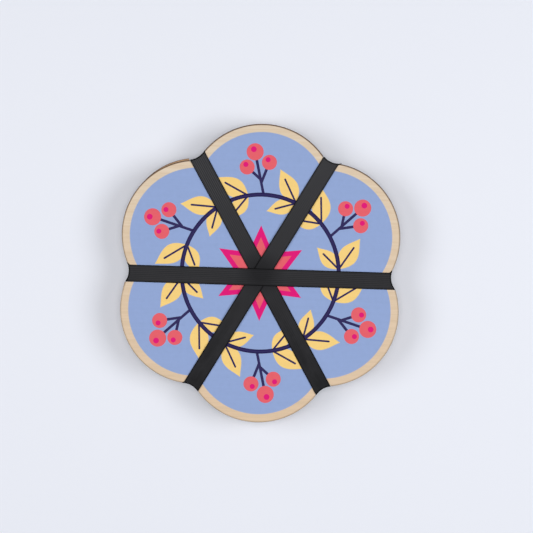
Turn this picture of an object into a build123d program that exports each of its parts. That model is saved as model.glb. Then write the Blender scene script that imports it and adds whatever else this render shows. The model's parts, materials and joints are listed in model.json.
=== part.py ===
from build123d import *
import os
from collections import namedtuple
from math import cos, hypot, radians, sin, sqrt

# A flower press: two six-lobed plywood boards, with cardboard and blotting paper between them, held
# together by three flat elastic straps that cross in the middle.
# Millimetres and degrees. +Z is up, +Y runs out through one lobe, and the press stands on z = 0.

# The six-lobed outline
lobe_count = 6
lobe_radius = 43.8
lobe_reach = 43.7  # from the middle of the press to the middle of each lobe
notch_radius = 1.0  # rounding at the foot of the notch between two lobes

# The two boards
board_thickness = 5.0
edge_easing = 0.4  # rounding of the cut edges

# The loose sheets: each pressing layer is a pair of blotters, with a cardboard under and over it
pressing_layers = 4
cardboard_thickness = 1.6
cardboard_inset = 1.5  # how far the sheet's edge lies inside the boards' edge
blotter_thickness = 0.5
blotter_inset = 2.0
sheet_gap = 0.05  # air between one sheet and the next
sheet_turn = 0.6  # the most that a sheet lies turned on the stack
askew_turn = -1.8  # the uppermost cardboard, which lies askew
askew_x = -0.6
askew_y = 1.65

# The elastic straps
strap_width = 10.0
strap_thickness = 0.8
strap_gap = 0.1  # air between a strap and what it lies on
strap_bow = 1.3  # how far an upright run bows in towards the stack
strap_tip = 0.3  # how far a strap's corners stand out from the boards' edge
strap_skew = 0.55  # how far the straps lie turned clockwise from the notches
bend_radius = 0.6  # where a strap turns over the boards' edge
seat_clearance = 0.25  # between a strap and the seat cut for it in each notch
crossing_margin = 0.5

# The sewn lap that closes each loop, under the bottom board
lap_length = 12.0
lap_from_edge = 10.0
stitch_rows = 3
stitch_width = 0.8
stitch_height = 0.2
stitch_margin = 1.0  # from a row's ends to the strap's edges

# Each strap: its direction, how far it lies to one side, and how many straps lie under it
Strap = namedtuple("Strap", "name turn aside level")
straps = [
    Strap("inner", 120.0 - strap_skew, 0.0, 0),
    Strap("middle", 60.0 - strap_skew, -0.6, 1),
    Strap("outer", 0.0 - strap_skew, -2.4, 2),
]

# Heights, from the lowest strap up
pitch = 360 / lobe_count
lane_x = lobe_reach * cos(radians(pitch / 2))
lane_y = lobe_reach * sin(radians(pitch / 2))
strap_lay = strap_thickness + strap_gap
board_bottom = len(straps) * strap_lay
sheets_bottom = board_bottom + board_thickness + sheet_gap
cardboard_lift = cardboard_thickness + sheet_gap
blotter_lift = blotter_thickness + sheet_gap
layer_lift = cardboard_lift + 2 * blotter_lift
lid_bottom = sheets_bottom + pressing_layers * layer_lift + cardboard_lift
lid_top = lid_bottom + board_thickness
press_height = lid_top + board_bottom


def around(reach, angle):
    """The point at a distance from the middle of the press, in a direction."""
    return (reach * cos(radians(angle)), reach * sin(radians(angle)))


def lobed_face(inset):
    """The six-lobed outline, drawn in by an inset: lobes joined by small round notches."""
    notch_reach = lane_x + sqrt((lobe_radius + notch_radius) ** 2 - lane_y**2)

    def meeting(lobe, notch):
        """Where the lobe in one direction runs into the notch in another."""
        x, y = around(lobe_reach, lobe)
        nx, ny = around(notch_reach, notch)
        part = (lobe_radius - inset) / (lobe_radius + notch_radius)
        return (x + (nx - x) * part, y + (ny - y) * part)

    edges = []
    for k in range(lobe_count):
        lobe = 90 + k * pitch
        before = meeting(lobe, lobe - pitch / 2)
        after = meeting(lobe, lobe + pitch / 2)
        following = meeting(lobe + pitch, lobe + pitch / 2)
        apex = around(lobe_reach + lobe_radius - inset, lobe)
        foot = around(notch_reach - notch_radius - inset, lobe + pitch / 2)
        edges.append(ThreePointArc(before, apex, after))
        edges.append(ThreePointArc(after, foot, following))
    return make_face(edges)


def board_edge(aside):
    """How far out the boards' edge lies along a notch, at a distance to one side of it."""
    return lane_x + sqrt(lobe_radius**2 - (abs(aside) - lane_y) ** 2)


End = namedtuple("End", "x y radius")


def strap_end(strap, side):
    """The circle that a strap's upright run follows at one end, seen from above, outside the boards' edge."""
    from_notch = strap.aside - side * board_edge(0) * sin(radians(strap_skew))
    low_x = board_edge(from_notch - strap_width / 2) + strap_tip
    high_x = board_edge(from_notch + strap_width / 2) + strap_tip
    chord = hypot(high_x - low_x, strap_width)
    radius = (chord**2 / 4 + strap_bow**2) / (2 * strap_bow)
    x = (low_x + high_x) / 2 + (radius - strap_bow) * strap_width / chord
    y = strap.aside - (radius - strap_bow) * (high_x - low_x) / chord
    return End(x, y, radius)


def far_out(strap):
    """A distance from the middle that lies beyond both ends of a strap."""
    return max(strap_end(strap, side).x for side in (-1, 1))


def strap_plan(strap, grown, widened):
    """A strap seen from above, between its two round ends, as an upright block."""
    plan = Pos(0, strap.aside) * Rectangle(2 * far_out(strap), strap_width + 2 * widened)
    for side in (-1, 1):
        end = strap_end(strap, side)
        plan -= Pos(side * end.x, end.y) * Circle(end.radius - grown)
    return Pos(0, 0, -press_height) * extrude(plan, 3 * press_height, dir=(0, 0, 1))


def crossing_half(strap):
    """How far from its middle a strap still lies over the straps below it."""
    reach = 0
    for other in straps[: strap.level]:
        angle = radians(other.turn - strap.turn)
        shift = (other.aside - strap.aside * cos(angle)) / sin(angle)
        half = strap_width / 2 * (1 + abs(cos(angle))) / sin(angle)
        reach = max(reach, abs(shift) + half + crossing_margin)
    return reach


def hump(strap, x):
    """How far a strap stands off the board at a distance from its middle."""
    edge = board_edge(0)
    share = (edge - abs(x)) / (edge - crossing_half(strap))
    return strap.level * strap_lay * min(1, max(0, share))


def strap_side(strap, grown):
    """A strap's loop seen from the side, filled in, as a block along the strap's width."""
    far = far_out(strap)
    stations = [far, board_edge(0), crossing_half(strap)] if strap.level else [far]
    over = [(x, lid_top + strap_gap + grown + hump(strap, x)) for x in stations]
    under = [(x, board_bottom - strap_gap - grown - hump(strap, x)) for x in stations]
    right = under[::-1] + over
    left = [(-x, z) for x, z in reversed(right)]
    face = make_face(Polyline(*right, *left, close=True))
    return extrude(Plane.XZ * face, 2 * lobe_reach, both=True)


def lap_line(strap, x):
    """The height of the underside of a strap's sewn lap."""
    return board_bottom - strap_gap - 2 * strap_thickness - hump(strap, x)


def under_strap(strap, start, end, thickness, lift, half_width):
    """A flat tab that follows the slope under a strap, from its lap line up by a lift and down by a thickness."""
    corners = [
        (start, lap_line(strap, start) + lift),
        (end, lap_line(strap, end) + lift),
        (end, lap_line(strap, end) - thickness),
        (start, lap_line(strap, start) - thickness),
    ]
    tab = extrude(Plane.XZ * make_face(Polyline(*corners, close=True)), half_width, both=True)
    return Pos(0, strap.aside) * tab


lap_end = board_edge(0) - lap_from_edge
lap_start = lap_end - lap_length


def elastic_strap(strap):
    """One closed loop of flat elastic, with its sewn lap underneath."""
    outside = strap_plan(strap, 0, 0) & strap_side(strap, strap_thickness)
    inside = strap_plan(strap, -strap_thickness, strap_width) & strap_side(strap, 0)
    loop = outside - inside
    radii = [strap_end(strap, side).radius for side in (-1, 1)]
    turns = [
        edge
        for edge in loop.edges().filter_by(GeomType.CIRCLE)
        if min(abs(edge.radius - radius) for radius in radii) < 1e-3
    ]
    loop = fillet(turns, bend_radius)
    loop += under_strap(strap, lap_start, lap_end, 0, strap_thickness, strap_width / 2)
    return Rot(0, 0, strap.turn) * loop


def strap_stitching(strap):
    """The rows of thread that close a strap's lap."""
    rows = []
    for k in range(stitch_rows):
        middle = lap_start + lap_length * (k + 0.5) / stitch_rows
        start = middle - stitch_width / 2
        half = strap_width / 2 - stitch_margin
        row = under_strap(strap, start, start + stitch_width, stitch_height, 0, half)
        rows.append(Rot(0, 0, strap.turn) * row)
    return Compound(children=rows)


def strap_seats():
    """What is cut from every board and sheet so that the straps' upright runs lie clear in the notches."""
    seats = []
    for strap in straps:
        wide = strap_width + 2 * seat_clearance
        lane = Pos(0, strap.aside) * Rectangle(4 * far_out(strap), wide)
        for side in (-1, 1):
            end = strap_end(strap, side)
            round_end = Pos(side * end.x, end.y) * Circle(end.radius + strap_thickness + seat_clearance)
            seat = extrude(lane & round_end, press_height, dir=(0, 0, 1))
            seats.append(Rot(0, 0, strap.turn) * seat)
    return seats


seats = strap_seats()


def board(height):
    """One plywood board with eased edges, its underside at a height."""
    plate = extrude(lobed_face(0), board_thickness, dir=(0, 0, 1))
    flats = plate.faces().filter_by(Axis.Z)
    plate = fillet(flats[0].edges() + flats[1].edges(), edge_easing)
    return Pos(0, 0, height) * plate - seats


def sheet(thickness, inset, height, turn, x=0, y=0):
    """One loose sheet, lying turned on the stack, its underside at a height."""
    plate = extrude(lobed_face(inset), thickness, dir=(0, 0, 1))
    return Pos(x, y, height) * Rot(0, 0, turn) * plate - seats


# The stack, from the bottom board up
pieces = {"bottom_board": board(board_bottom)}
for layer in range(pressing_layers):
    height = sheets_bottom + layer * layer_lift
    turn = sheet_turn * cos(radians(100 * layer))
    name = f"cardboard_{layer + 1}"
    pieces[name] = sheet(cardboard_thickness, cardboard_inset, height, turn)
    height += cardboard_lift
    for side in (1, 2):
        number = 2 * layer + side
        turn = sheet_turn * sin(radians(70 * number))
        pieces[f"blotter_{number}"] = sheet(blotter_thickness, blotter_inset, height, turn)
        height += blotter_lift
name = f"cardboard_{pressing_layers + 1}"
height = lid_bottom - cardboard_lift
pieces[name] = sheet(cardboard_thickness, cardboard_inset, height, askew_turn, askew_x, askew_y)
pieces["top_board"] = board(lid_bottom)

# The straps and their stitching
for strap in straps:
    pieces[f"elastic_strap_{strap.name}"] = elastic_strap(strap)
    pieces[f"strap_stitching_{strap.name}"] = strap_stitching(strap)

os.makedirs("parts", exist_ok=True)
for name, piece in pieces.items():
    export_step(piece, f"parts/{name}.step")
    box = piece.bounding_box()
    print(name, [round(v, 2) for v in (*box.min, *box.max)], round(piece.volume, 1))
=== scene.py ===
# %% [markdown]
# # A flower press
# The press is two lobed plywood boards with cardboard and blotting paper between them, held shut by three
# elastic straps. The construction comes ready made and is loaded first, as a frame that is never moved.
# Everything below gives that frame its looks: finishes for the boards and sheets, a printed design on the
# top board, real flutes in the cardboard, and straps with the soft shape of knitted elastic.

import json
from math import atan2, ceil, cos, hypot, pi, radians, sin, sqrt

import bmesh
import bpy
import numpy as np
from mathutils import Matrix, Vector


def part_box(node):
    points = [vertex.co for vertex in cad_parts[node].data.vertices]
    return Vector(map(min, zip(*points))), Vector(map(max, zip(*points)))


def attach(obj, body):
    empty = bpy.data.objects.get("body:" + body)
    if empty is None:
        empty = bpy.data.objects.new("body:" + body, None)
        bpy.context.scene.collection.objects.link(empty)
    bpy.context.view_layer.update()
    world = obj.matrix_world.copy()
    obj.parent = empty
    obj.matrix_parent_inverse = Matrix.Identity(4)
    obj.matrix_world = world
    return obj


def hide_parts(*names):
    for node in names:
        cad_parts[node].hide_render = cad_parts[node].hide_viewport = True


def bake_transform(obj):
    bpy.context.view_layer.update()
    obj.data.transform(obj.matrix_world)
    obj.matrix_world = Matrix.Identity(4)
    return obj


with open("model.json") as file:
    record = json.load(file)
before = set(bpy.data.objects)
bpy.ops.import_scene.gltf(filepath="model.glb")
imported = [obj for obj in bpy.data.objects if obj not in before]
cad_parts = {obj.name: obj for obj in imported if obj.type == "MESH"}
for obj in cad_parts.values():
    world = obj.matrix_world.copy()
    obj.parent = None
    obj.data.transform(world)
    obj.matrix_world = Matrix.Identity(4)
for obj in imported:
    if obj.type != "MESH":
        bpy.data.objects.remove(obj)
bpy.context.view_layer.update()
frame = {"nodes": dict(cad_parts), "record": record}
scene = bpy.context.scene
scene.view_settings.view_transform = "Standard"

# %% [markdown]
# ## Units, colours and nodes
# Blender works in metres and a maker in millimetres, so one factor turns one into the other. Colours are
# written as the hex values a paint chart gives, and shaders want linear light, so one function converts
# them. Node trees get long in code, so one small function adds a node: it sets the node's properties,
# fills each input with a value or a wire from another node, and gives back one output.

# %% Small helpers
MM = 0.001
# The kinds of node used most, and the colour sockets of a mix
MATH, SPLIT, JOIN = "ShaderNodeMath", "ShaderNodeSeparateXYZ", "ShaderNodeCombineXYZ"
MIX_A, MIX_B, MIX_RESULT = 6, 7, 2


def linear(hex_colour, share=1.0):
    """An sRGB hex colour as linear RGBA, or a share of its light."""
    channels = [int(hex_colour[k : k + 2], 16) / 255 for k in (1, 3, 5)]
    light = [c / 12.92 if c <= 0.04045 else ((c + 0.055) / 1.055) ** 2.4 for c in channels]
    return (*[share * c for c in light], 1.0)


def add(tree, kind, inputs={}, out=0, **settings):
    """Adds one node and gives back an output. An input takes a value, a socket or a list of sockets."""
    node = tree.nodes.new(kind)
    for name, value in settings.items():
        setattr(node, name, value)
    for socket, sources in inputs.items():
        for source in sources if isinstance(sources, list) else [sources]:
            if isinstance(source, bpy.types.NodeSocket):
                tree.links.new(source, node.inputs[socket])
            else:
                node.inputs[socket].default_value = source
    return node.outputs[out] if node.outputs else None


def link_piece(name, mesh, finish):
    """A new object at the origin, whose place is in its mesh."""
    piece = bpy.data.objects.new(name, mesh)
    scene.collection.objects.link(piece)
    mesh.materials.clear()
    mesh.materials.append(finish)
    return piece


def keep_shape(name, shape, finish):
    """A new object with an edited mesh, which is freed."""
    mesh = bpy.data.meshes.new(name)
    shape.to_mesh(mesh)
    shape.free()
    return link_piece(name, mesh, finish)


print("one millimetre is", MM, "m")

# %% [markdown]
# ## The camera
# The press is seen from straight above, a little turned, so the camera looks down with a small roll. One
# pixel's size at the top board's face sets the lens: the frame's width there over the distance. The
# middle of the press falls a little left of and below the picture's middle, so the camera stands that
# much aside.

# %% Camera
PICTURE = 533
PIXEL = 0.586 * MM
PRESS_PIXEL = (260.2, 273.1)
CAMERA_HEIGHT = 1.1
CAMERA_ROLL = radians(1.25)
SENSOR_WIDTH = 36
VIEW_END = 20

lid_low, lid_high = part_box("top_board")
camera_data = bpy.data.cameras.new("camera")
camera_data.sensor_width = SENSOR_WIDTH
camera_data.lens = SENSOR_WIDTH * CAMERA_HEIGHT / (PICTURE * PIXEL)
camera_data.clip_end = VIEW_END
camera = bpy.data.objects.new("camera", camera_data)
aside = Vector((PICTURE / 2 - PRESS_PIXEL[0], PRESS_PIXEL[1] - PICTURE / 2, 0)) * PIXEL
above = Vector((0, 0, lid_high.z + CAMERA_HEIGHT))
camera.location = Matrix.Rotation(CAMERA_ROLL, 3, "Z") @ aside + above
camera.rotation_euler = (0, 0, CAMERA_ROLL)
scene.collection.objects.link(camera)
scene.camera = camera
print("lens", round(camera_data.lens, 1), "mm, camera", [round(v, 4) for v in camera.location])

# %% [markdown]
# ## Finishes
# A finish starts as one Principled shader whose constant values are set on its own sockets. Its colour
# comes from patterns, most of them noise drawn out to a real length and width: wood grain is long and
# thin, paper fibre is short and even. So `marks` makes noise whose marks have a size in millimetres.
# `lay_over` lays one colour over another as a pattern rises, and `dress` gives the shader the colour and
# a faint relief.


# %% Start, colour and dress a finish
def start_finish(name, **constants):
    """A material, with its tree, its one Principled shader and the place that is shaded."""
    material = bpy.data.materials.new(name)
    material.use_nodes = True
    tree = material.node_tree
    shader = tree.nodes["Principled BSDF"]
    for socket, value in constants.items():
        shader.inputs[socket.replace("_", " ")].default_value = value
    return material, tree, shader, add(tree, "ShaderNodeTexCoord", {}, "Object")


def marks(tree, place, size, **inputs):
    """Noise whose marks have this length, width and height in millimetres."""
    scale = tuple(1 / (side * MM) for side in size)
    scaled = add(tree, "ShaderNodeMapping", {"Vector": place, "Scale": scale})
    return add(tree, "ShaderNodeTexNoise", {"Vector": scaled, "Scale": 1, "Detail": 3, **inputs})


def lay_over(tree, under, over, value, start=0.0, end=1.0, most=1.0):
    """Lays one colour over another as a value goes from start to end. Hex colours are converted."""
    under, over = (linear(tone) if isinstance(tone, str) else tone for tone in (under, over))
    span = {"From Min": start, "From Max": end, "To Max": most}
    share = add(tree, "ShaderNodeMapRange", {"Value": value, **span})
    tones = {"Factor": share, MIX_A: under, MIX_B: over}
    return add(tree, "ShaderNodeMix", tones, MIX_RESULT, data_type="RGBA")


def dress(tree, shader, colour, height, strength, depth):
    """Gives a finish its colour, and a relief so many millimetres deep."""
    tree.links.new(colour, shader.inputs["Base Color"])
    bump = {"Height": height, "Strength": strength, "Distance": depth * MM}
    tree.links.new(add(tree, "ShaderNodeBump", bump), shader.inputs["Normal"])


print("finishes can start")

# %% [markdown]
# ## Studio light and floor
# A product table: a pale, faintly blue floor under a large softbox overhead, with a smaller one on each
# side and a weak even sky. The one overhead leaves hardly a shadow, and the two at the sides leave the
# soft ones to the left and right of the press. They are set so that an upward face comes out about as
# bright as its colour is written.

# %% Lights and floor
SKY = 0.1
# Each softbox's place, its width and its power in watts
SOFTBOXES = {
    "softbox_above": ((0, 0, 2.2), 0.85, 17.4),
    "softbox_left": ((-0.69, 0, 0.98), 0.64, 4.5),
    "softbox_right": ((0.69, 0, 0.98), 0.64, 5.6),
}
FLOOR_COLOUR = "#ebeef7"
FLOOR_HALF = 3.0

scene.world = bpy.data.worlds.new("studio")
scene.world.use_nodes = True
sky = scene.world.node_tree.nodes["Background"]
sky.inputs["Color"].default_value = (1, 1, 1, 1)
sky.inputs["Strength"].default_value = SKY

for name, (place, width, watts) in SOFTBOXES.items():
    lamp_data = bpy.data.lights.new(name, "AREA")
    lamp_data.shape = "DISK"
    lamp_data.size = width
    lamp_data.energy = watts
    lamp = bpy.data.objects.new(name, lamp_data)
    lamp.location = place
    lamp.rotation_euler = Vector(place).to_track_quat("Z", "Y").to_euler()
    scene.collection.objects.link(lamp)

floor_mesh = bpy.data.meshes.new("floor")
corners = [(x * FLOOR_HALF, y * FLOOR_HALF, 0) for x, y in ((-1, -1), (1, -1), (1, 1), (-1, 1))]
floor_mesh.from_pydata(corners, [], [(0, 1, 2, 3)])
matt = {"Roughness": 1.0, "Specular_IOR_Level": 0.0}
floor_finish, *_ = start_finish("studio_floor", Base_Color=linear(FLOOR_COLOUR), **matt)
link_piece("floor", floor_mesh, floor_finish)
print(len(SOFTBOXES), "softboxes over a floor of", FLOOR_COLOUR)

# %% [markdown]
# ## Laser-cut edges
# Boards and cardboard are cut by a laser, which scorches the cut and leaves a thin burnt line round each
# face. To draw it, a finish has to know how far a place lies from the edge. The outline is six discs
# round a ring, so the place is folded into one lobe, and the law of cosines gives its distance from the
# lobe's middle. The line is painted darker toward one side of the press, as painted shade. The cut itself
# is simpler to find: a face looks up or down, and a cut looks sideways.

# %% Where a surface is burnt, with painted shade on its line
LOBES = 6
LOBE_RADIUS = 43.8
LOBE_REACH = 43.7
BOARD_HALF = 85
# How dark the line is, from the middle of the press to the side where it is painted darker as painted shade
LINE_SHADE = (0.4, 1.5)
# How level a surface is where it begins to be a cut, and where it is one
CUT_LEVELS = (0.6, 0.2)


def from_lobe_axis(tree, x, y):
    """The angle between a place and the axis of its lobe."""
    angle = add(tree, MATH, {0: y, 1: x}, operation="ARCTAN2")
    from_notch = add(tree, MATH, {0: angle, 1: pi / LOBES}, operation="PINGPONG")
    return add(tree, MATH, {0: pi / LOBES, 1: from_notch}, operation="SUBTRACT")


def burnt(tree, place, inset, full, end):
    """How burnt a surface is, on the cut and on a line round the face that fades inward (mm), with painted
    shade on the line.
    """
    flat = add(tree, "ShaderNodeVectorMath", {0: place, 1: (1, 1, 0)}, operation="MULTIPLY")
    out = add(tree, "ShaderNodeVectorMath", {0: flat}, "Value", operation="LENGTH")
    x, y = (add(tree, SPLIT, {"Vector": place}, axis) for axis in "XY")
    cosine = add(tree, MATH, {0: from_lobe_axis(tree, x, y)}, operation="COSINE")
    reach = LOBE_REACH * MM
    less = add(tree, MATH, {0: cosine, 1: -2 * reach, 2: out}, operation="MULTIPLY_ADD")
    square = add(tree, MATH, {0: out, 1: less, 2: reach**2}, operation="MULTIPLY_ADD")
    from_lobe = add(tree, MATH, {0: square}, operation="SQRT")
    # Painted shade: the burnt line is painted darker toward one side of the press
    span = {"From Max": BOARD_HALF * MM, "To Min": LINE_SHADE[0], "To Max": LINE_SHADE[1]}
    line_shade = add(tree, "ShaderNodeMapRange", {"Value": y, **span})
    edge = LOBE_RADIUS - inset
    span = {"From Min": (edge - end) * MM, "From Max": (edge - full) * MM, "To Max": line_shade}
    line = add(tree, "ShaderNodeMapRange", {"Value": from_lobe, **span})
    facing = add(tree, "ShaderNodeNewGeometry", {}, "True Normal")
    up = add(tree, SPLIT, {"Vector": facing}, "Z")
    level = add(tree, MATH, {0: up}, operation="ABSOLUTE")
    span = {"From Min": CUT_LEVELS[0], "From Max": CUT_LEVELS[1]}
    cut = add(tree, "ShaderNodeMapRange", {"Value": level, **span})
    return add(tree, MATH, {0: cut, 1: line}, operation="MAXIMUM")


print("lobes of", LOBE_RADIUS, "mm, set", LOBE_REACH, "mm out")

# %% [markdown]
# ## Basswood plywood
# The boards' faces are pale, even wood with fine grain running across the press, a shade warmer toward
# one side. The cut is dark brown, streaked from top to bottom where the beam passed, and a little lighter
# in every second ply, whose grain lies across. Each ply is one millimetre thick.

# %% Plywood finish
PLY = 1.0
CROSS_PLY_PALER = 0.22
GRAIN = (60, 1.8, 1.8)
FIBRE = (7, 0.45, 0.45)
STREAK = (0.45, 0.45, 14)
# How far in the burnt line is full, and where it ends
BOARD_LINE = (0.35, 0.95)


def plywood(name, underside):
    """Laser-cut basswood plywood, for a board whose underside is at this height."""
    material, tree, shader, place = start_finish(name, Roughness=0.6, Specular_IOR_Level=0.4)
    y, height = (add(tree, SPLIT, {"Vector": place}, axis) for axis in "YZ")
    wood = lay_over(tree, "#dfc2a2", "#dfd0bb", y, start=-BOARD_HALF * MM, end=BOARD_HALF * MM)
    grain = marks(tree, place, GRAIN, Detail=4, Roughness=0.6, Distortion=0.8)
    wood = lay_over(tree, wood, "#d3ba9b", grain, start=0.3, end=0.72)
    fibre = marks(tree, place, FIBRE, Detail=2)
    wood = lay_over(tree, wood, "#bda283", fibre, start=0.5, end=0.8, most=0.25)

    char = lay_over(tree, "#35241a", "#7d5a3b", marks(tree, place, STREAK, Roughness=0.6))
    rise = add(tree, MATH, {0: height, 1: underside}, operation="SUBTRACT")
    in_pair = add(tree, MATH, {0: rise, 1: 2 * PLY * MM}, operation="FLOORED_MODULO")
    cross = add(tree, MATH, {0: in_pair, 1: PLY * MM}, operation="GREATER_THAN")
    char = lay_over(tree, char, "#a07a55", cross, most=CROSS_PLY_PALER)
    # The burnt line carries painted shade toward one side of the press
    colour = lay_over(tree, wood, char, burnt(tree, place, 0, *BOARD_LINE))
    dress(tree, shader, colour, fibre, strength=0.25, depth=0.05)
    return material


for node in ("top_board", "bottom_board"):
    finish = plywood(f"basswood_plywood_{node}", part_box(node)[0].z)
    frame["nodes"][node].material_slots[0].material = finish
    print(node, "is", finish.name)

# %% [markdown]
# ## Blotting paper
# Blotting paper is thick, soft, unsized paper: a warm white with no gloss, felted out of short fibres
# that show as faint flecks. The sheets are flat and keep their shape, so the frame's own solids stay,
# with a paper finish. Noise at two sizes makes the cloudy formation and the flecks.

# %% Blotting paper finish
FORMATION = (5, 5, 5)
FLECK = (0.5, 0.5, 0.5)

blotting_paper, tree, shader, place = start_finish("blotting_paper", Roughness=0.95, Specular_IOR_Level=0.2)
paper = lay_over(tree, "#f4efe4", "#e8e0d0", marks(tree, place, FORMATION))
fleck = marks(tree, place, FLECK)
paper = lay_over(tree, paper, "#cbbfa8", fleck, start=0.55, end=0.8, most=0.3)
dress(tree, shader, paper, fleck, strength=0.4, depth=0.06)

blotters = [name for name in frame["nodes"] if name.startswith("blotter_")]
for name in blotters:
    frame["nodes"][name].material_slots[0].material = blotting_paper
print(len(blotters), "blotters")

# %% [markdown]
# ## A geometry nodes workbench
# Several pieces below are made by a rule: flutes, leaves round a ring, stitches. Each rule is a geometry
# nodes tree with named inputs. `start_tree` makes the tree and its inputs, `set_out` ends it in Realize
# Instances and Set Material, and `grow` puts the tree on an object, sets the inputs by their identifiers,
# and keeps the result as a plain mesh, without the modifier. `plate` and `lift` are rules that the trees
# share.


# %% Start, end and use a tree
def start_tree(name, **sizes):
    """A geometry nodes tree, its inputs a geometry, a finish and a number for each size."""
    tree = bpy.data.node_groups.new(name, "GeometryNodeTree")
    tree.interface.new_socket("Geometry", in_out="INPUT", socket_type="NodeSocketGeometry")
    tree.interface.new_socket("finish", in_out="INPUT", socket_type="NodeSocketMaterial")
    for size, value in sizes.items():
        kind = "NodeSocketInt" if isinstance(value, int) else "NodeSocketFloat"
        tree.interface.new_socket(size, in_out="INPUT", socket_type=kind).default_value = value
    tree.interface.new_socket("Geometry", in_out="OUTPUT", socket_type="NodeSocketGeometry")
    return tree, add(tree, "NodeGroupInput").node.outputs


def set_out(tree, given, geometry):
    """Ends a tree: real copies, one finish, and the output."""
    real = add(tree, "GeometryNodeRealizeInstances", {"Geometry": geometry})
    done = add(tree, "GeometryNodeSetMaterial", {"Geometry": real, "Material": given["finish"]})
    add(tree, "NodeGroupOutput", {"Geometry": done})
    return tree


def grow(piece, tree, **sizes):
    """Runs a tree on a piece and keeps the result as its plain mesh."""
    modifier = piece.modifiers.new(tree.name, "NODES")
    modifier.node_group = tree
    sizes["finish"] = piece.data.materials[0]
    for item in tree.interface.items_tree:
        if item.in_out == "INPUT" and item.name in sizes:
            modifier[item.identifier] = sizes[item.name]
    depsgraph = bpy.context.evaluated_depsgraph_get()
    mesh = bpy.data.meshes.new_from_object(piece.evaluated_get(depsgraph))
    piece.modifiers.remove(modifier)
    mesh.name = piece.name
    piece.data = mesh
    return piece


print("trees can start")

# %% Rules that trees share
WELD = 0.001 * MM


def plate(tree, sheet, thickness):
    """Gives a sheet of faces a thickness upward, and closes it underneath."""
    up = add(tree, "FunctionNodeInputVector", vector=(0, 0, 1))
    rise = {"Mesh": sheet, "Offset": up, "Offset Scale": thickness, "Individual": False}
    top = add(tree, "GeometryNodeExtrudeMesh", rise)
    bottom = add(tree, "GeometryNodeFlipFaces", {"Mesh": sheet})
    both = add(tree, "GeometryNodeJoinGeometry", {"Geometry": [top, bottom]})
    return add(tree, "GeometryNodeMergeByDistance", {"Geometry": both, "Distance": WELD})


def lift(tree, geometry, height):
    """Moves every point up by a height."""
    offset = add(tree, JOIN, {"Z": height})
    return add(tree, "GeometryNodeSetPosition", {"Geometry": geometry, "Offset": offset})


print("points closer than", WELD / MM, "mm are welded")

# %% [markdown]
# ## Corrugated cardboard
# Each cardboard sheet is two flat liners with a wavy paper glued between them. A striped slab would give
# itself away at the edge, so the sheet is made as the real one is. The tree takes the frame's slab and
# makes three things of it: a lower liner, an upper liner, and a wave of paper that is cut to the slab's
# outline by a boolean. The wave starts as a grid with only two columns, because nothing changes along a
# flute.

# %% Fluted sheet
FLUTE_PITCH = 3.2
LINER = 0.22
ROWS_PER_FLUTE = 8
SHEET_SPAN = 190


def fluted_sheet():
    """Turns a closed slab into a corrugated sheet: liners with a fluted core between them."""
    sizes = {"bottom": 0.0, "top": 0.0, "liner": LINER * MM}
    waves = {"span": SHEET_SPAN * MM, "pitch": FLUTE_PITCH * MM, "turn": 0.0}
    rows = ceil(SHEET_SPAN / FLUTE_PITCH * ROWS_PER_FLUTE)
    tree, given = start_tree("fluted_sheet", rows=rows, **sizes, **waves)
    slab, low, high, liner = (given[name] for name in ("Geometry", "bottom", "top", "liner"))
    place = add(tree, "GeometryNodeInputPosition")
    x, y, z = (add(tree, SPLIT, {"Vector": place}, axis) for axis in "XYZ")
    core_low = add(tree, MATH, {0: low, 1: liner}, operation="ADD")
    core_high = add(tree, MATH, {0: high, 1: liner}, operation="SUBTRACT")
    pieces = []
    for bottom, top in ((low, core_low), (core_high, high)):
        span = {"From Min": low, "From Max": high, "To Min": bottom, "To Max": top}
        level = add(tree, "ShaderNodeMapRange", {"Value": z, **span})
        flat = add(tree, JOIN, {"X": x, "Y": y, "Z": level})
        pieces.append(add(tree, "GeometryNodeSetPosition", {"Geometry": slab, "Position": flat}))

    sides = {"Size X": given["span"], "Size Y": given["span"]}
    counts = {"Vertices X": 2, "Vertices Y": given["rows"]}
    grid = add(tree, "GeometryNodeMeshGrid", {**sides, **counts})
    turns = add(tree, MATH, {0: y, 1: given["pitch"]}, operation="DIVIDE")
    angle = add(tree, MATH, {0: turns, 1: 2 * pi}, operation="MULTIPLY")
    wave = add(tree, MATH, {0: angle}, operation="SINE")
    crest = add(tree, MATH, {0: core_high, 1: liner}, operation="SUBTRACT")
    span = {"From Min": -1.0, "From Max": 1.0, "To Min": core_low, "To Max": crest}
    height = add(tree, "ShaderNodeMapRange", {"Value": wave, **span})
    core = plate(tree, lift(tree, grid, height), liner)
    rotation = add(tree, JOIN, {"Z": given["turn"]})
    core = add(tree, "GeometryNodeTransform", {"Geometry": core, "Rotation": rotation})
    both = {"Mesh 2": [core, slab]}
    pieces.append(add(tree, "GeometryNodeMeshBoolean", both, operation="INTERSECT", solver="EXACT"))
    return set_out(tree, given, add(tree, "GeometryNodeJoinGeometry", {"Geometry": pieces}))


flutes = fluted_sheet()
print("flutes", FLUTE_PITCH, "mm apart")

# %% [markdown]
# Kraft paper is brown, dry and full of short fibres, with no gloss. The laser has burnt the cut and a
# line round the face here too. The sheets lie turned on the stack, and the uppermost one lies askew, so
# the burnt line is drawn in the sheet's own place, and each sheet has a finish of its own.

# %% Kraft cardboard finish
SHEET_INSET = 1.5
KRAFT_CLOUD = (9, 9, 9)
KRAFT_FIBRE = (0.8, 0.8, 0.8)
KRAFT_LINE = (0.15, 0.4)
# How much of the paper's own colour is lost on the cut
KRAFT_BURNT = 0.9


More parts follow.
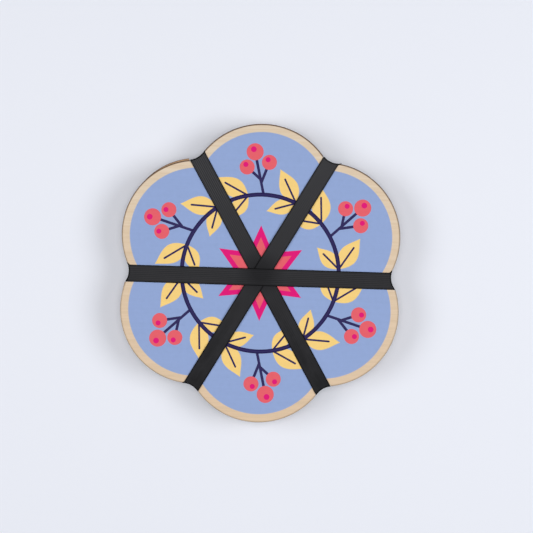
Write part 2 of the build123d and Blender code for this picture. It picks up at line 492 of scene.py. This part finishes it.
def kraft(name, turn, x, y):
    """Laser-cut kraft cardboard, for a sheet turned and moved this much (degrees, mm)."""
    material, tree, shader, place = start_finish(name, Roughness=0.9, Specular_IOR_Level=0.25)
    brown = lay_over(tree, "#d6b490", "#c49d78", marks(tree, place, KRAFT_CLOUD))
    fibre = marks(tree, place, KRAFT_FIBRE)
    brown = lay_over(tree, brown, "#a57f5c", fibre, start=0.5, end=0.75, most=0.4)
    lie = {"Vector": place, "Location": (x * MM, y * MM, 0), "Rotation": (0, 0, radians(turn))}
    on_sheet = add(tree, "ShaderNodeMapping", lie, vector_type="TEXTURE")
    # Painted shade: the burnt line grows darker toward one side of the press, as on the boards
    burn_and_shade = burnt(tree, on_sheet, SHEET_INSET, *KRAFT_LINE)
    colour = lay_over(tree, brown, "#55391f", burn_and_shade, end=1 / KRAFT_BURNT)
    dress(tree, shader, colour, fibre, strength=0.3, depth=0.05)
    return material


print("kraft sheets are cut", SHEET_INSET, "mm inside the boards")

# %% Cardboard sheets
FLUTE_TURN = radians(8)
SHEET_TURN = 0.6
SHEET_TURN_STEP = radians(100)
# The uppermost sheet's turn in degrees and its shift in millimetres
ASKEW = (-1.8, -0.6, 1.65)

cardboards = sorted(name for name in frame["nodes"] if name.startswith("cardboard_"))
lies = [(SHEET_TURN * cos(SHEET_TURN_STEP * k), 0, 0) for k in range(len(cardboards) - 1)] + [ASKEW]
bodies = frame["record"]["behaviour"]["bodies"]
for number, (node, lie) in enumerate(zip(cardboards, lies)):
    slab = bmesh.new()
    slab.from_mesh(frame["nodes"][node].data)
    bmesh.ops.remove_doubles(slab, verts=slab.verts, dist=WELD)
    piece = keep_shape(f"fluted_{node}", slab, kraft(f"kraft_{node}", *lie))
    low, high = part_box(node)
    turn = FLUTE_TURN * (number - len(cardboards) // 2)
    grow(piece, flutes, bottom=low.z, top=high.z, turn=turn)
    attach(piece, next(body for body, nodes in bodies.items() if node in nodes))
    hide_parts(node)
    print(piece.name, len(piece.data.polygons), "faces")

# %% [markdown]
# ## The printed board
# The top board is printed inside a bare wood rim. Screen ink lies on wood as a film one or two hundredths
# of a millimetre thick, so the print is made as thin plates, each colour a little higher than the one
# under it. The ink is matt and even, faintly mottled, and the grain of the wood just shows in it.

# %% Ink finish
MOTTLE = (2.5, 2.5, 2.5)
MOTTLE_LIGHT = 0.94
INKS = {
    "blue": "#92a7d4",
    "yellow": "#f6d180",
    "navy": "#2c2558",
    "coral": "#e6606a",
    "magenta": "#e00c76",
}


def screen_ink(name, colour):
    """Matt screen ink on wood."""
    material, tree, shader, place = start_finish(name, Roughness=0.6, Specular_IOR_Level=0.12)
    grain = marks(tree, place, GRAIN, Detail=5, Roughness=0.65)
    mottle = marks(tree, place, MOTTLE, Detail=4)
    both = add(tree, MATH, {0: mottle, 1: grain}, operation="MULTIPLY")
    ink = lay_over(tree, colour, linear(colour, MOTTLE_LIGHT), both, start=0.1, end=0.45)
    dress(tree, shader, ink, grain, strength=0.2, depth=0.04)
    return material


inks = {name: screen_ink(f"{name}_screen_ink", colour) for name, colour in INKS.items()}
print(len(inks), "inks")

# %% [markdown]
# The ground repeats the board's own lobes, drawn in. Round the middle, the edge of a ring of discs is a
# simple polar formula, which geometry nodes can apply to a plain circle before filling it.

# %% Lobed ground
GROUND_REACH = 43.4
GROUND_RADIUS = 39.3
GROUND_POINTS = 720
FILM = 0.015


def lobed_ground():
    """A film in the shape of discs set round a ring."""
    sizes = {"reach": GROUND_REACH * MM, "radius": GROUND_RADIUS * MM, "film": FILM * MM}
    tree, given = start_tree("lobed_ground", height=0.0, **sizes)
    circle = add(tree, "GeometryNodeCurvePrimitiveCircle", {"Resolution": GROUND_POINTS, "Radius": 1.0})
    place = add(tree, "GeometryNodeInputPosition")
    x, y = (add(tree, SPLIT, {"Vector": place}, axis) for axis in "XY")
    from_axis = from_lobe_axis(tree, x, y)
    parts = [add(tree, MATH, {0: from_axis}, operation=part) for part in ("COSINE", "SINE")]
    reach = given["reach"]
    along, across = (add(tree, MATH, {0: reach, 1: part}, operation="MULTIPLY") for part in parts)
    across_square = add(tree, MATH, {0: across, 1: 2.0}, operation="POWER")
    radius_square = add(tree, MATH, {0: given["radius"], 1: 2.0}, operation="POWER")
    rest_square = add(tree, MATH, {0: radius_square, 1: across_square}, operation="SUBTRACT")
    rest = add(tree, MATH, {0: rest_square}, operation="SQRT")
    out = add(tree, MATH, {0: along, 1: rest}, operation="ADD")
    edge = add(tree, "ShaderNodeVectorMath", {0: place, "Scale": out}, operation="SCALE")
    outline = add(tree, "GeometryNodeSetPosition", {"Geometry": circle, "Position": edge})
    film = plate(tree, add(tree, "GeometryNodeFillCurve", {"Curve": outline}), given["film"])
    return set_out(tree, given, lift(tree, film, given["height"]))


def keep_print(piece):
    """A layer of the print moves with the top board."""
    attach(piece, "lid")
    print(piece.name, len(piece.data.polygons), "faces")


ground = keep_shape("print_ground", bmesh.new(), inks["blue"])
keep_print(grow(ground, lobed_ground(), height=lid_high.z))

# %% [markdown]
# The design is a traditional laurel wreath: a ring of stem, pairs of leaves along it all pointing the
# same way round, a sprig of berries in each lobe, and a star in the middle. A leaf, a vein, a stalk and a
# berry are drawn once as flat outlines, and a tree sets copies of them round the ring.


# %% Films of ink
def film_plate(name, outlines, level, finish):
    """A thin plate for each outline, given in millimetres, lying so many films above the board."""
    mesh = bmesh.new()
    for outline in outlines:
        loops = []
        for z in (lid_high.z + level * FILM * MM, lid_high.z + (level + 1) * FILM * MM):
            loops.append([mesh.verts.new((x * MM, y * MM, z)) for x, y in outline])
        mesh.faces.new(loops[0][::-1])
        mesh.faces.new(loops[1])
        for k in range(len(outline)):
            mesh.faces.new((loops[0][k - 1], loops[0][k], loops[1][k], loops[1][k - 1]))
    mesh.normal_update()
    bmesh.ops.triangulate(mesh, faces=[face for face in mesh.faces if len(face.verts) > 4])
    return keep_shape(name, mesh, finish)


print("a film is", FILM, "mm thick")

# %% Flat outlines
# What makes a leaf fullest a little before its middle, and how pointed it is
LEAF_LEAN, LEAF_POINT = 0.85, 1.15


def disc(x, y, radius, points=48):
    """A round outline."""
    angles = [2 * pi * k / points for k in range(points)]
    return [(x + radius * cos(a), y + radius * sin(a)) for a in angles]


def leaf(length, width, points=24):
    """A pointed leaf along X."""
    shares = [k / points for k in range(1, points)]
    upper = [(length * s, width / 2 * sin(pi * s**LEAF_LEAN) ** LEAF_POINT) for s in shares]
    return [(0, 0)] + [(x, -y) for x, y in upper] + [(length, 0)] + upper[::-1]


def stroke(start, end, width, points=12):
    """A straight stroke with round ends."""
    angle = atan2(end[1] - start[1], end[0] - start[0])
    outline = []
    for (x, y), turn in ((end, angle - pi / 2), (start, angle + pi / 2)):
        for k in range(points + 1):
            a = turn + pi * k / points
            outline.append((x + width / 2 * cos(a), y + width / 2 * sin(a)))
    return outline


def star(tip, points=LOBES):
    """A pointed star with its tips in the lobes."""
    corners = []
    for k in range(2 * points):
        reach = tip if k % 2 else tip / 2
        corners.append((reach * cos(pi * k / points), reach * sin(pi * k / points)))
    return corners


print("a leaf has", len(leaf(20, 10)), "corners")

# %% Rules for a ring
RING = 46
RING_POINTS = 180
STEM = 2.4


def round_ring():
    """Sets copies of a flat piece round a ring, each turned with its place."""
    tree, given = start_tree("round_ring", count=LOBES, first=0.0, radius=RING * MM, splay=0.0)
    index = add(tree, "GeometryNodeInputIndex")
    step = add(tree, MATH, {0: 2 * pi, 1: given["count"]}, operation="DIVIDE")
    angle = add(tree, MATH, {0: index, 1: step, 2: given["first"]}, operation="MULTIPLY_ADD")
    x, y = (add(tree, MATH, {0: angle}, operation=part) for part in ("COSINE", "SINE"))
    spoke = add(tree, JOIN, {"X": x, "Y": y})
    place = add(tree, "ShaderNodeVectorMath", {0: spoke, "Scale": given["radius"]}, operation="SCALE")
    points = add(tree, "GeometryNodePoints", {"Count": given["count"], "Position": place})
    turn = add(tree, MATH, {0: angle, 1: given["splay"]}, operation="ADD")
    rotation = add(tree, JOIN, {"Z": turn})
    copies = {"Points": points, "Instance": given["Geometry"], "Rotation": rotation}
    return set_out(tree, given, add(tree, "GeometryNodeInstanceOnPoints", copies))


def ring_film():
    """A flat ring: a circle swept by a thin oblong."""
    sizes = {"radius": RING * MM, "width": STEM * MM, "film": FILM * MM}
    tree, given = start_tree("ring_film", height=0.0, **sizes)
    circle = {"Resolution": RING_POINTS, "Radius": given["radius"]}
    path = add(tree, "GeometryNodeCurvePrimitiveCircle", circle)
    oblong = {"Width": given["width"], "Height": given["film"]}
    section = add(tree, "GeometryNodeCurvePrimitiveQuadrilateral", oblong)
    band = add(tree, "GeometryNodeCurveToMesh", {"Curve": path, "Profile Curve": section})
    return set_out(tree, given, lift(tree, band, given["height"]))


def print_round(name, outlines, level, finish, **around):
    """Prints copies of some outlines round the ring."""
    keep_print(grow(film_plate(name, outlines, level, finish), ring_copies, **around))


ring_copies = round_ring()
print("a ring of", RING, "mm")

# %% The wreath
VEIN = 1.1
VEIN_SHARE = 0.7
# How many films up the leaves, their veins and the stem lie
LEAF_LEVEL, VEIN_LEVEL, STEM_LEVEL = 1, 2.2, 3.9
# Where each pair of leaves starts on the ring, and a leaf's length, width and splay (degrees, mm)
PAIRS = {"first": 4, "second": 40}
LEAVES = {"outer": (22, 11, 52), "inner": (18, 9, 132)}

for pair, first in PAIRS.items():
    for side, (length, width, splay) in LEAVES.items():
        around = {"first": radians(first), "splay": radians(splay)}
        blade = leaf(length, width)
        print_round(f"print_leaves_{pair}_{side}", [blade], LEAF_LEVEL, inks["yellow"], **around)
        vein = stroke((0, 0), (VEIN_SHARE * length, 0), VEIN)
        print_round(f"print_veins_{pair}_{side}", [vein], VEIN_LEVEL, inks["navy"], **around)

stem = keep_shape("print_stem", bmesh.new(), inks["navy"])
keep_print(grow(stem, ring_film(), height=lid_high.z + STEM_LEVEL * FILM * MM))

# %% Berries and star
STALK = 1.6
# A berry's eye, as a share of its radius, and how far it lies from the berry's middle
EYE = 0.34
EYE_SHIFT = (1.5, 0.8)
# How many films up each layer lies. The stalks cross, so each has a layer of its own
STALK_LEVELS, BERRY_LEVEL, EYE_LEVEL = (1, 2.1, 3.2), 4.3, 5.4
# Each star's reach, how many films up it lies, and its ink
STARS = {"outer": (28, 1, "magenta"), "inner": (21, 2.1, "coral")}
# Each berry's place from the ring, outward and along it, its radius, and where its stalk starts
BERRIES = [((25, 4.5), 5.0, (0, -1)), ((16, 9), 4.4, (9, 1)), ((19, -4), 4.4, (7, 0.5))]

in_lobes = {"first": pi / LOBES}
for number, (place, _, foot) in enumerate(BERRIES):
    stalk = stroke(foot, place, STALK)
    print_round(f"print_stalk_{number}", [stalk], STALK_LEVELS[number], inks["navy"], **in_lobes)
berries = [disc(*place, radius) for place, radius, _ in BERRIES]
print_round("print_berries", berries, BERRY_LEVEL, inks["coral"], **in_lobes)
eyes = [disc(x + EYE_SHIFT[0], y + EYE_SHIFT[1], EYE * radius) for (x, y), radius, _ in BERRIES]
print_round("print_berry_eyes", eyes, EYE_LEVEL, inks["magenta"], **in_lobes)
for name, (tip, level, ink) in STARS.items():
    keep_print(film_plate(f"print_star_{name}", [star(tip)], level, inks[ink]))

# %% [markdown]
# ## Knitted elastic straps
# A strap is flat black elastic, ten millimetres wide. It is pulled tight, so its long runs are straight,
# and where it turns over the edge its middle draws in and its corners stand out. A swept box can't do
# that, because each lengthwise line of the strap is a loop of another length. So the strap is built line
# by line: each place across its width follows a loop of its own round the same corners. Its sizes repeat
# the frame's: the straps lie a little turned from the notches, and each one climbs over those it crosses.

# %% Strap sizes
STRAP_WIDTH = 10.0
STRAP_THICKNESS = 0.8
STRAP_GAP = 0.1
STRAP_BOW = 1.3
STRAP_TIP = 0.3
STRAP_BEND = 0.95
STRAP_SKEW = 0.55
CROSSING_MARGIN = 0.5
# Each strap's direction in degrees, how far it lies to one side, and how many straps lie under it
STRAPS = {
    "inner": (120 - STRAP_SKEW, 0.0, 0),
    "middle": (60 - STRAP_SKEW, -0.6, 1),
    "outer": (0 - STRAP_SKEW, -2.4, 2),
}

lane_x = LOBE_REACH * cos(pi / LOBES)
lane_y = LOBE_REACH * sin(pi / LOBES)
strap_top = lid_high.z / MM + STRAP_GAP + STRAP_THICKNESS / 2
strap_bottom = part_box("bottom_board")[0].z / MM - STRAP_GAP - STRAP_THICKNESS / 2
print("straps run from", round(strap_bottom, 2), "to", round(strap_top, 2), "mm")

# %% Where a strap lies
HUMP_EASE = 2
HUMP_POINTS = 9


def board_edge(across):
    """How far out the boards' edge lies along a notch, at a distance across it."""
    return lane_x + sqrt(LOBE_RADIUS**2 - (abs(across) - lane_y) ** 2)


def strap_end(across, side):
    """The circle that a strap's upright run follows at one end, seen from above: middle and radius."""
    from_notch = across - side * board_edge(0) * sin(radians(STRAP_SKEW))
    low_x = board_edge(from_notch - STRAP_WIDTH / 2) + STRAP_TIP
    high_x = board_edge(from_notch + STRAP_WIDTH / 2) + STRAP_TIP
    chord = hypot(high_x - low_x, STRAP_WIDTH)
    radius = (chord**2 / 4 + STRAP_BOW**2) / (2 * STRAP_BOW)
    x = (low_x + high_x) / 2 + (radius - STRAP_BOW) * STRAP_WIDTH / chord
    y = across - (radius - STRAP_BOW) * (high_x - low_x) / chord
    return x, y, radius


def crossing_half(name):
    """How far from its middle a strap still lies over the straps below it."""
    turn, across, level = STRAPS[name]
    reach = 0
    for other_turn, other_across, _ in list(STRAPS.values())[:level]:
        angle = radians(other_turn - turn)
        shift = (other_across - across * cos(angle)) / sin(angle)
        half = STRAP_WIDTH / 2 * (1 + abs(cos(angle))) / sin(angle)
        reach = max(reach, abs(shift) + half + CROSSING_MARGIN)
    return reach


def hump(name, x):
    """How far a strap stands off the board at places along it, eased where it bends."""
    edge, flat = board_edge(0), crossing_half(name)
    nearby = np.abs(np.asarray(x)[..., None] + np.linspace(-HUMP_EASE, HUMP_EASE, HUMP_POINTS))
    share = np.clip((edge - nearby) / (edge - flat), 0, 1).mean(-1)
    return STRAPS[name][2] * (STRAP_THICKNESS + STRAP_GAP) * share


print("at the crossing the outer strap lies", round(float(hump("outer", 0)), 2), "mm higher")

# %% [markdown]
# The elastic's rubber cords make fine lengthwise ribs, with a thin rounded selvedge at each side. The
# section is drawn once, as places across the width and through the thickness.

# %% Strap section
RIB_PITCH = 1.1
RIB_DEPTH = 0.07
RIB_POINTS = 6
SELVEDGE = 0.45
SELVEDGE_POINTS = 9


def strap_section():
    """The outline of a strap cut across: places across its width and through its thickness."""
    half, skin = STRAP_WIDTH / 2 - SELVEDGE, STRAP_THICKNESS / 2
    ribs = round(2 * half / RIB_PITCH)
    rows = np.linspace(-1, 1, ribs * RIB_POINTS + 1)
    ridge = skin - RIB_DEPTH * (0.5 + 0.5 * np.cos(pi * rows * ribs))
    turn = np.linspace(pi / 2, -pi / 2, SELVEDGE_POINTS)[1:-1]
    round_side = half + SELVEDGE * np.cos(turn)
    round_depth = (skin - RIB_DEPTH) * np.sin(turn)
    across = np.concatenate([half * rows, round_side, half * rows[::-1], -round_side])
    depth = np.concatenate([ridge, round_depth, -ridge[::-1], -round_depth])
    return across, depth


section_across, section_depth = strap_section()
print("strap section has", len(section_across), "points")

# %% [markdown]
# Where a strap is folded over the edge, a selvedge may curl out into a thin horn that stands past the
# strap's side. So near a fold that side of the section is drawn out, thinned, and laid on the outer face,
# where it stays clear of the board.

# %% Curled selvedge
CURL = 1.4
CURL_FADE = 4.0
CURL_THINNED = 0.7
CURL_OUTWARD = 0.3
# The share of the full curl at each strap's two ends, with a sign for the side
CURLED = {"inner": {-1: 0, 1: -0.3}, "middle": {-1: 0.5, 1: -1}, "outer": {-1: 1, 1: 1}}


def curled_section(curl):
    """The section with one side curled out, by a share of the full curl whose sign says which side."""
    past = np.abs(section_across) - (STRAP_WIDTH / 2 - SELVEDGE)
    drawn = np.clip(past / SELVEDGE, 0, 1) * (section_across * curl > 0) * abs(curl)
    thin = np.minimum(drawn * 2, abs(curl))
    depth = section_depth * (1 - CURL_THINNED * thin) + CURL_OUTWARD * thin
    return section_across + np.sign(curl) * CURL * drawn, depth


print("selvedges curl out by", CURL, "mm")

# %% [markdown]
# The loop of each place runs along the bottom, round two bends and up one end, back along the top, and
# down the other end. Arrays hold all the places across the strap at once, so each station below is one
# step of every loop.

# %% Strap loop
RUN_STEPS, BEND_STEPS, UPRIGHT_STEPS = 84, 7, 14
SLOPE_STEP = 0.1


def strap_loop(name):
    """The loop of each place across a strap: points, outward directions, and how curled each step is."""
    across = STRAPS[name][1]
    r = STRAP_BEND
    every = np.zeros_like(section_across)
    points, outward, curls = [], [], []

    def reach(side, curl=0):
        """How far out the upright run lies at one end."""
        x, y, radius = strap_end(across, side)
        off = curled_section(curl)[0] + across - y
        return x - np.sqrt((radius + STRAP_THICKNESS / 2) ** 2 - off**2)

    def run(level, side):
        """A long run, away from one end."""
        start, end = side * (reach(side) - r), -side * (reach(-side) - r)
        base = strap_top if level > 0 else strap_bottom
        for share in np.linspace(0, 1, RUN_STEPS):
            x = start + share * (end - start)
            slope = (hump(name, x + SLOPE_STEP) - hump(name, x - SLOPE_STEP)) / (2 * SLOPE_STEP)
            points.append((x, base + level * hump(name, x)))
            outward.append((-slope / np.hypot(1, slope), level / np.hypot(1, slope)))
            curls.append(0)

    def bend(level, side, start):
        """A quarter turn over the edge of a board."""
        middle = strap_top - r if level > 0 else strap_bottom + r
        for share in np.linspace(0, 1, BEND_STEPS + 2)[1:-1]:
            a = start + share * pi / 2
            curl = CURLED[name][side] * abs(cos(a))
            points.append((side * (reach(side, curl) - r) + r * cos(a), every + middle + r * sin(a)))
            outward.append((every + cos(a), every + sin(a)))
            curls.append(curl)

    def upright(side):
        """The run over the edges of the stack, up one end and down the other."""
        start, end = (strap_bottom + r, strap_top - r)[::side]
        for z in np.linspace(start, end, UPRIGHT_STEPS):
            from_fold = min(abs(z - start), abs(z - end))
            curl = CURLED[name][side] * max(0, 1 - from_fold / CURL_FADE)
            points.append((side * reach(side, curl), every + z))
            outward.append((every + side, every))
            curls.append(curl)

    for side in (1, -1):
        run(-side, -side)
        bend(-side, side, -side * pi / 2)
        upright(side)
        bend(side, side, (1 - side) * pi / 2)
    return np.array(points), np.array(outward), curls


def loop_steps(points):
    """The steps of a strap's middle line, in millimetres."""
    middle = points[:, :, np.abs(section_across).argmin()]
    return np.hypot(*np.diff(middle, axis=0, append=middle[:1]).T)


for name in STRAPS:
    print(name, "strap is a loop of", round(loop_steps(strap_loop(name)[0]).sum(), 1), "mm")

# %% [markdown]
# The two ends of the elastic overlap underneath and are sewn there, so a short second ply lies under the
# loop. Both plies go into one mesh, with a map of the strap in metres along and across it, so that the
# knit follows the strap round every corner.

# %% Strap mesh
LAP_LENGTH = 12.0
LAP_FROM_EDGE = 10.0
LAP_STEPS = 9
lap_end = board_edge(0) - LAP_FROM_EDGE
lap_start = lap_end - LAP_LENGTH


def add_ply(mesh, name, points, outward, curls, closed):
    """Adds one swept ply of a strap to a mesh, as rings of its section, and maps it along and across."""
    turn, across, _ = STRAPS[name]
    layer = mesh.loops.layers.uv.active
    y, depth = np.array([curled_section(curl) for curl in curls]).transpose(1, 0, 2)
    x = points[:, 0] + depth * outward[:, 0]
    z = points[:, 1] + depth * outward[:, 1]
    places = np.stack([x, y + across, z], -1) * MM
    spin = Matrix.Rotation(radians(turn), 3, "Z")
    rings = [[mesh.verts.new(spin @ Vector(place)) for place in ring] for ring in places]
    along = np.concatenate([[0], np.cumsum(loop_steps(points))]) * MM
    around = len(section_across)
    for i in range(len(rings) if closed else len(rings) - 1):
        this, following = rings[i], rings[(i + 1) % len(rings)]
        for k in range(around):
            m = (k + 1) % around
            face = mesh.faces.new((this[k], following[k], following[m], this[m]))
            face.smooth = True
            for loop, u, v in zip(face.loops, (i, i + 1, i + 1, i), (k, k, m, m)):
                loop[layer].uv = (along[u], section_across[v] * MM)
    if not closed:
        mesh.faces.new(rings[0])
        mesh.faces.new(rings[-1])


def strap_mesh(name):
    """One strap: its loop, and the second ply of its sewn lap."""
    mesh = bmesh.new()
    mesh.loops.layers.uv.new("along_and_across")
    add_ply(mesh, name, *strap_loop(name), True)
    x = np.linspace(lap_start, lap_end, LAP_STEPS)[:, None] + 0 * section_across
    z = strap_bottom - hump(name, x) - STRAP_THICKNESS
    downward = np.stack([0 * x, 0 * x - 1], 1)
    add_ply(mesh, name, np.stack([x, z], 1), downward, [0] * LAP_STEPS, False)
    bmesh.ops.recalc_face_normals(mesh, faces=mesh.faces)
    return mesh


print("laps from", round(lap_start, 1), "to", round(lap_end, 1), "mm")

# %% [markdown]
# Black elastic isn't black: its yarn is dark grey, and rough, with hardly any gloss. Its ribs are painted
# lighter and its grooves darker, as painted light and shade on the relief. The knit's stitches are small
# slanted marks that change direction from one rib to the next. Along the selvedge the yarn is darker, and
# painted shade on its rounding makes it nearly black. Wear leaves it slightly cloudy along its length, and
# the straps are painted lighter toward one side of the press, as painted light. Near the middle of the
# press, where the straps cross, they are darker, and on a sharp fold the strap is painted nearly black as
# painted shade.

# %% Knit of the elastic
STITCH = 0.8
RIB_SHARE, STITCH_SHARE = 0.5, 0.35

elastic, tree, shader, place = start_finish("black_knitted_elastic", Roughness=0.82, Specular_IOR_Level=0.08)
uv = add(tree, "ShaderNodeUVMap", uv_map="along_and_across")
along, across = (add(tree, SPLIT, {"Vector": uv}, axis) for axis in "XY")
rib_place = add(tree, MATH, {0: across, 1: 1 / (RIB_PITCH * MM)}, operation="MULTIPLY")
rib_angle = add(tree, MATH, {0: rib_place, 1: 2 * pi}, operation="MULTIPLY")
rib = add(tree, MATH, {0: rib_angle}, operation="COSINE")
slant = add(tree, MATH, {0: rib_place, 1: 1.0}, operation="PINGPONG")
stitches = {0: along, 1: 1 / (STITCH * MM), 2: slant}
stitch_place = add(tree, MATH, stitches, operation="MULTIPLY_ADD")
stitch_angle = add(tree, MATH, {0: stitch_place, 1: 2 * pi}, operation="MULTIPLY")
stitch = add(tree, MATH, {0: stitch_angle}, operation="SINE")
ribs = add(tree, MATH, {0: rib, 1: RIB_SHARE}, operation="MULTIPLY")
knit = add(tree, MATH, {0: stitch, 1: STITCH_SHARE, 2: ribs}, operation="MULTIPLY_ADD")
print("ribs of", RIB_PITCH, "mm, stitches of", STITCH, "mm")

# %% Colours of the elastic
WEAR = (14, 5, 5)
# How far from the middle the painted light toward one side reaches its full lightness
PAINTED_LIGHT_HALF = 60
# Where the selvedge's darker yarn and its painted shade begin and are full, from the strap's middle line
SELVEDGE_DARK_AND_SHADE = (4.15 * MM, 4.65 * MM)
# Where the darker crossing begins and is full, from the middle of the press
CROSSING_DARK = (15 * MM, 4 * MM)
# How far a surface has turned, on a fold or a selvedge, where the painted shade begins, and where it is full
FOLD_SHADE = (0.04, 0.18)

y = add(tree, SPLIT, {"Vector": place}, "Y")
# Painted light: the straps are painted lighter toward one side of the press
colour = lay_over(tree, "#202022", "#4b4b4e", y, start=-PAINTED_LIGHT_HALF * MM, end=PAINTED_LIGHT_HALF * MM)
light = RIB_SHARE + STITCH_SHARE
# Painted light and shade: the knit's ribs are painted lighter and its grooves darker, following its relief
colour = lay_over(tree, "#222224", colour, knit, start=-light, end=light)
worn = marks(tree, uv, WEAR, Detail=5, Roughness=0.65)
colour = lay_over(tree, colour, "#343437", worn, start=0.4, end=0.7, most=0.5)
off_middle = add(tree, MATH, {0: across}, operation="ABSOLUTE")
# The selvedge: its own darker yarn, with painted shade on its rounding and a painted contact shadow
colour = lay_over(tree, colour, "#0d0d0e", off_middle, *SELVEDGE_DARK_AND_SHADE, most=0.85)
flat = add(tree, "ShaderNodeVectorMath", {0: place, 1: (1, 1, 0)}, operation="MULTIPLY")
out = add(tree, "ShaderNodeVectorMath", {0: flat}, "Value", operation="LENGTH")
colour = lay_over(tree, colour, "#161618", out, *CROSSING_DARK, most=0.6)
# Painted shade: where the surface turns away from above, on folds and selvedges, it is painted nearly black
facing = add(tree, "ShaderNodeNewGeometry", {}, "Normal")
up = add(tree, SPLIT, {"Vector": facing}, "Z")
fold = add(tree, MATH, {0: up, 1: 0.5}, operation="PINGPONG")
colour = lay_over(tree, colour, "#050505", fold, *FOLD_SHADE)
dress(tree, shader, colour, knit, strength=0.5, depth=0.1)
print(elastic.name, "has", len(tree.nodes), "nodes")

# %% [markdown]
# Each strap is kept as one plain mesh in its place, and the frame's own strap is hidden.

# %% Straps
for name in STRAPS:
    strap = keep_shape(f"knitted_strap_{name}", strap_mesh(name), elastic)
    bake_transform(strap)
    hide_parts(f"elastic_strap_{name}")
    print(strap.name, len(strap.data.polygons), "faces")

# %% [markdown]
# ## Stitching
# The lap is sewn with rows of zigzag stitches across the strap, in a smooth polyester thread whose twist
# just catches the light. A row is a line whose points step to one side and the other in turn, by their
# number, swept with a round thread.

# %% Thread finish
TWIST = (0.25, 0.25, 0.25)

thread, tree, shader, place = start_finish("black_polyester_thread", Roughness=0.45, IOR=1.5)
colour = lay_over(tree, "#101011", "#303033", marks(tree, place, TWIST))
tree.links.new(colour, shader.inputs["Base Color"])
print("thread twists every", TWIST[0], "mm")

# %% Zigzag rows
ZIGZAGS = 14
SWING = 0.55
THREAD = 0.11
THREAD_SIDES = 6
STITCH_MARGIN = 1.0
STITCH_ROWS = 3
row_pitch = LAP_LENGTH / STITCH_ROWS


def zigzag_rows():
    """Rows of zigzag thread across the Y axis, set apart along the X axis."""
    half = STRAP_WIDTH / 2 - STITCH_MARGIN
    sizes = {"half": half * MM, "swing": SWING / 2 * MM, "thread": THREAD * MM, "pitch": row_pitch * MM}
    counts = {"points": 2 * ZIGZAGS + 1, "rows": STITCH_ROWS}
    tree, given = start_tree("zigzag_rows", **sizes, **counts)
    back = add(tree, MATH, {0: given["half"], 1: -1.0}, operation="MULTIPLY")
    start, end = (add(tree, JOIN, {"Y": y}) for y in (back, given["half"]))
    line = add(tree, "GeometryNodeCurvePrimitiveLine", {"Start": start, "End": end})
    line = add(tree, "GeometryNodeResampleCurve", {"Curve": line, "Count": given["points"]})
    index = add(tree, "GeometryNodeInputIndex")
    odd = add(tree, MATH, {0: index, 1: 2.0}, operation="MODULO")
    sign = add(tree, MATH, {0: odd, 1: 2.0, 2: -1.0}, operation="MULTIPLY_ADD")
    step = add(tree, MATH, {0: sign, 1: given["swing"]}, operation="MULTIPLY")
    offset = add(tree, JOIN, {"X": step})
    zigzag = add(tree, "GeometryNodeSetPosition", {"Geometry": line, "Offset": offset})
    circle = {"Resolution": THREAD_SIDES, "Radius": given["thread"]}
    section = add(tree, "GeometryNodeCurvePrimitiveCircle", circle)
    sweep = {"Curve": zigzag, "Profile Curve": section, "Fill Caps": True}
    row = add(tree, "GeometryNodeCurveToMesh", sweep)
    apart = add(tree, JOIN, {"X": given["pitch"]})
    places = add(tree, "GeometryNodeMeshLine", {"Count": given["rows"], "Offset": apart})
    rows = add(tree, "GeometryNodeInstanceOnPoints", {"Points": places, "Instance": row})
    return set_out(tree, given, rows)


zigzags = zigzag_rows()
ends = (lap_start + row_pitch / 2, lap_end - row_pitch / 2)
for name, (turn, across, _) in STRAPS.items():
    rows = grow(keep_shape(f"zigzag_stitching_{name}", bmesh.new(), thread), zigzags)
    low, high = (strap_bottom - float(hump(name, x)) - 1.5 * STRAP_THICKNESS - THREAD for x in ends)
    slope = Matrix.Rotation(-atan2(high - low, ends[1] - ends[0]), 4, "Y")
    lay = Matrix.Translation(Vector((ends[0], across, low)) * MM) @ slope
    rows.data.transform(Matrix.Rotation(radians(turn), 4, "Z") @ lay)
    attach(rows, "base")
    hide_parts(f"strap_stitching_{name}")
    print(rows.name, len(rows.data.polygons), "faces")
